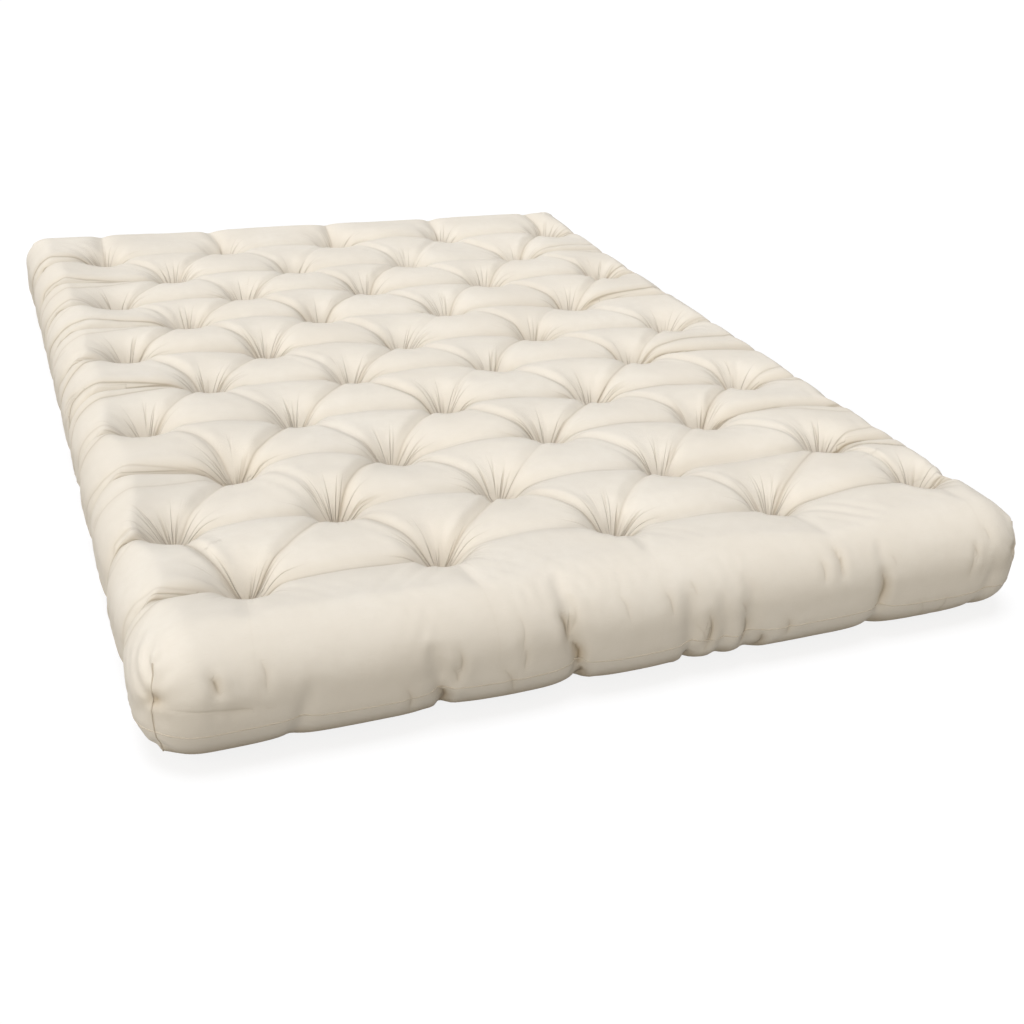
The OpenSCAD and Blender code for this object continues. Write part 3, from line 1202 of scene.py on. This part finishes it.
def radial_pleats(tree):
    """Fine gathers that run out from each tuft: many short ones, and a few long ones. Their grooves
    sink in the bump and are painted in shade.
    """
    apart = node(tree, "ShaderNodeSeparateXYZ")
    tree.links.new(attribute(tree, "from_tuft", "Vector"), apart.inputs["Vector"])
    x = apart.outputs["X"]
    y = apart.outputs["Y"]
    phase = apart.outputs["Z"]
    angle = arithmetic(tree, "ARCTAN2", y, x)
    away = arithmetic(tree, "SQRT", plus(tree, times(tree, x, x), times(tree, y, y)))
    around = node(tree, "ShaderNodeCombineXYZ")
    for axis, turned in (("X", "COSINE"), ("Y", "SINE")):
        tree.links.new(times(tree, arithmetic(tree, turned, angle), 1.4), around.inputs[axis])
    tree.links.new(times(tree, phase, 91.0), around.inputs["Z"])
    wander = noise(tree, around.outputs["Vector"], 1.6, 2.0)
    turns = plus(tree, times(tree, angle, 5.0), times(tree, phase, 12.0))
    turns = plus(tree, turns, times(tree, wander, 16.0))
    wave = arithmetic(tree, "ABSOLUTE", arithmetic(tree, "COSINE", turns))
    groove = arithmetic(tree, "POWER", wave, 14.0)
    own_length = ranged(tree, wander, 0.38, 0.62, 0.018, 0.062)
    left = minus(tree, 1.0, arithmetic(tree, "DIVIDE", away, own_length))
    short = times(tree, groove, arithmetic(tree, "MAXIMUM", left, 0.0))
    slow = plus(tree, times(tree, angle, 3.0), times(tree, wander, 14.0))
    slow = plus(tree, slow, times(tree, away, 9.0))
    crest = arithmetic(tree, "ABSOLUTE", arithmetic(tree, "COSINE", slow))
    few = arithmetic(tree, "POWER", crest, 90.0)
    long = times(tree, few, ranged(tree, away, 0.020, 0.095, 0.9, 0.0))
    start = ranged(tree, away, 0.004, 0.014, 0.0, 1.0)
    strength = times(tree, start, attribute(tree, "gathered"))
    return times(tree, arithmetic(tree, "MAXIMUM", short, long), strength)


def casing_cotton():
    material, tree, shader = new_material("unbleached_plain_cotton")
    pattern = node(tree, "ShaderNodeUVMap").outputs["UV"]
    place = node(tree, "ShaderNodeTexCoord").outputs["Object"]
    weave = plain_weave(tree, pattern, weave_pitch)
    slubs_map = node(tree, "ShaderNodeMapping")
    slubs_map.inputs["Scale"].default_value = (60.0, 900.0, 1.0)
    tree.links.new(pattern, slubs_map.inputs["Vector"])
    slubs = noise(tree, slubs_map.outputs["Vector"], 1.0, 2.0)
    broad = noise(tree, place, 5.0, 3.0, 0.55)
    small = noise(tree, place, 45.0, 4.0, 0.6)
    lines = crease_lines(tree)
    pleats = radial_pleats(tree)
    colour = tinted(tree, cotton_warm, broad, 0.3, 0.7, 1.0, cotton_pale)
    colour = tinted(tree, colour, small, 0.35, 0.75, 0.5, cotton_speckle)
    colour = tinted(tree, colour, slubs, 0.62, 0.80, 0.35, slub_thread)
    # painted shade in the folds, round the tufts, in the corner gathers and at the foot of the walls
    colour = tinted(tree, colour, attribute(tree, "painted_shade"), 0.0, 1.0, 0.85, soft_shade)
    # painted shade along each crease line, which also sinks in the bump
    colour = tinted(tree, colour, lines, 0.0, 1.0, 0.85, crease_shade)
    # painted shade in the pleats' grooves round each tuft, which also sink in the bump
    colour = tinted(tree, colour, pleats, 0.0, 1.0, 0.60, pleat_shade)
    tree.links.new(colour, shader.inputs["Base Color"])
    tree.links.new(ranged(tree, small, 0.0, 1.0, 0.86, 0.96), shader.inputs["Roughness"])
    shader.inputs["Sheen Weight"].default_value = 0.08
    shader.inputs["Sheen Roughness"].default_value = 0.5
    shader.inputs["Specular IOR Level"].default_value = 0.2
    creased = noise(tree, place, 22.0, 3.0, 0.5)
    height = plus(tree, times(tree, weave, 0.08), times(tree, slubs, 0.15))
    height = plus(tree, height, times(tree, creased, 1.6))
    height = minus(tree, height, times(tree, lines, 2.6))
    height = minus(tree, height, times(tree, pleats, 2.6))
    raised(tree, shader, height, 0.0010, 0.8)
    return material


def seam_cloth():
    material, tree, shader = new_material("turned_seam_cotton")
    place = node(tree, "ShaderNodeTexCoord").outputs["Object"]
    grain = noise(tree, place, 900.0, 2.0)
    broad = noise(tree, place, 30.0, 3.0)
    colour = tinted(tree, (0.62, 0.56, 0.47), broad, 0.3, 0.7, 1.0, (0.67, 0.61, 0.52))
    colour = tinted(tree, colour, grain, 0.4, 0.7, 0.4, (0.66, 0.58, 0.47))
    tree.links.new(colour, shader.inputs["Base Color"])
    shader.inputs["Roughness"].default_value = 0.92
    raised(tree, shader, grain, 0.0004, 0.7)
    return material


def loose_cotton():
    material, tree, shader = new_material("felted_cotton_batting")
    place = node(tree, "ShaderNodeTexCoord").outputs["Object"]
    tufty = noise(tree, place, 60.0, 6.0, 0.7)
    specks = noise(tree, place, 420.0, 2.0)
    colour = tinted(tree, (0.86, 0.84, 0.78), tufty, 0.35, 0.7, 1.0, (0.93, 0.92, 0.88))
    colour = tinted(tree, colour, specks, 0.70, 0.76, 0.6, (0.50, 0.42, 0.30))
    tree.links.new(colour, shader.inputs["Base Color"])
    shader.inputs["Roughness"].default_value = 0.98
    raised(tree, shader, tufty, 0.004, 0.8)
    return material


def twisted_cord():
    material, tree, shader = new_material("twisted_cotton_cord")
    place = node(tree, "ShaderNodeTexCoord").outputs["Object"]
    wave = node(tree, "ShaderNodeTexWave", bands_direction="DIAGONAL")
    wave.inputs["Scale"].default_value = 420.0
    wave.inputs["Distortion"].default_value = 1.5
    tree.links.new(place, wave.inputs["Vector"])
    fuzz = noise(tree, place, 1500.0, 2.0)
    colour = blend_colours(tree, wave.outputs["Fac"], (0.66, 0.60, 0.50), (0.84, 0.80, 0.71))
    colour = tinted(tree, colour, fuzz, 0.4, 0.8, 0.4, (0.90, 0.87, 0.80))
    tree.links.new(colour, shader.inputs["Base Color"])
    shader.inputs["Roughness"].default_value = 0.9
    raised(tree, shader, wave.outputs["Fac"], 0.0006, 0.8)
    return material


def dress(thing, material):
    if not thing.data.materials:
        thing.data.materials.append(material)
    for slot in thing.material_slots:
        slot.material = material


dress(casing, casing_cotton())
seam_material = seam_cloth()
dress(filling, loose_cotton())
cord_material = twisted_cord()
for ridge in seams:
    dress(ridge, seam_material)
for name in frame["nodes"]:
    if name.startswith(("tuft_cords_", "top_knots_", "bottom_knots_")):
        dress(bpy.data.objects[name], cord_material)


# ------------------------------------------------------------------ floor and light
def shown_directly(tree, usual, shown, surface):
    """Lets one shader light the object, and shows another to the camera and in reflections."""
    path = node(tree, "ShaderNodeLightPath")
    direct = arithmetic(tree, "MAXIMUM", path.outputs["Is Camera Ray"], path.outputs["Is Glossy Ray"])
    direct = arithmetic(tree, "MAXIMUM", direct, path.outputs["Is Transmission Ray"])
    either = node(tree, "ShaderNodeMixShader")
    tree.links.new(direct, either.inputs[0])
    tree.links.new(usual.outputs[0], either.inputs[1])
    tree.links.new(shown.outputs[0], either.inputs[2])
    tree.links.new(either.outputs[0], surface)


def lay_floor():
    bpy.ops.object.select_all(action="DESELECT")
    bpy.ops.mesh.primitive_plane_add(size=40, location=(0, 0, -0.0005))
    floor = bpy.context.object
    floor.name = "studio_floor"
    bpy.ops.object.transform_apply(location=True)
    material, tree, shader = new_material("white_floor")
    shader.inputs["Base Color"].default_value = (0.22, 0.217, 0.212, 1.0)
    shader.inputs["Roughness"].default_value = 0.95
    shader.inputs["Specular IOR Level"].default_value = 0.0
    seen_diffuse = node(tree, "ShaderNodeBsdfDiffuse")
    seen_diffuse.inputs["Color"].default_value = (0.22, 0.22, 0.225, 1.0)
    seen_glow = node(tree, "ShaderNodeEmission")
    seen_glow.inputs["Color"].default_value = (1.0, 1.0, 1.0, 1.0)
    seen_glow.inputs["Strength"].default_value = 0.82
    seen = node(tree, "ShaderNodeAddShader")
    tree.links.new(seen_diffuse.outputs[0], seen.inputs[0])
    tree.links.new(seen_glow.outputs[0], seen.inputs[1])
    shown_directly(tree, shader, seen, tree.nodes["Material Output"].inputs["Surface"])
    dress(floor, material)


def light_room():
    world = bpy.data.worlds.new("studio")
    world.use_nodes = True
    bpy.context.scene.world = world
    tree = world.node_tree
    fill = tree.nodes["Background"]
    fill.inputs["Color"].default_value = (1.0, 0.93, 0.82, 1.0)
    fill.inputs["Strength"].default_value = 0.285
    white = node(tree, "ShaderNodeBackground")
    white.inputs["Color"].default_value = (1.0, 1.0, 1.0, 1.0)
    white.inputs["Strength"].default_value = 1.0
    shown_directly(tree, fill, white, tree.nodes["World Output"].inputs["Surface"])


def hang_lamp(name, towards, softness, strength, colour):
    """A broad distant lamp that shines from the given side."""
    data = bpy.data.lights.new(name, "SUN")
    data.angle = math.radians(softness)
    data.energy = strength
    data.color = colour
    lamp = bpy.data.objects.new(name, data)
    bpy.context.collection.objects.link(lamp)
    lamp.location = Vector(towards) * 4
    lamp.rotation_euler = (-Vector(towards)).to_track_quat("-Z", "Y").to_euler()


lay_floor()
light_room()
hang_lamp("overhead_key", (-0.10, 0.05, 1.00), 30, 1.72, (0.965, 1.00, 1.06))
hang_lamp("front_fill", (-0.50, -0.80, 0.28), 40, 1.25, (1.00, 0.95, 0.86))
hang_lamp("side_fill", (-0.90, 0.10, 0.40), 30, 0.60, (1.00, 0.97, 0.93))
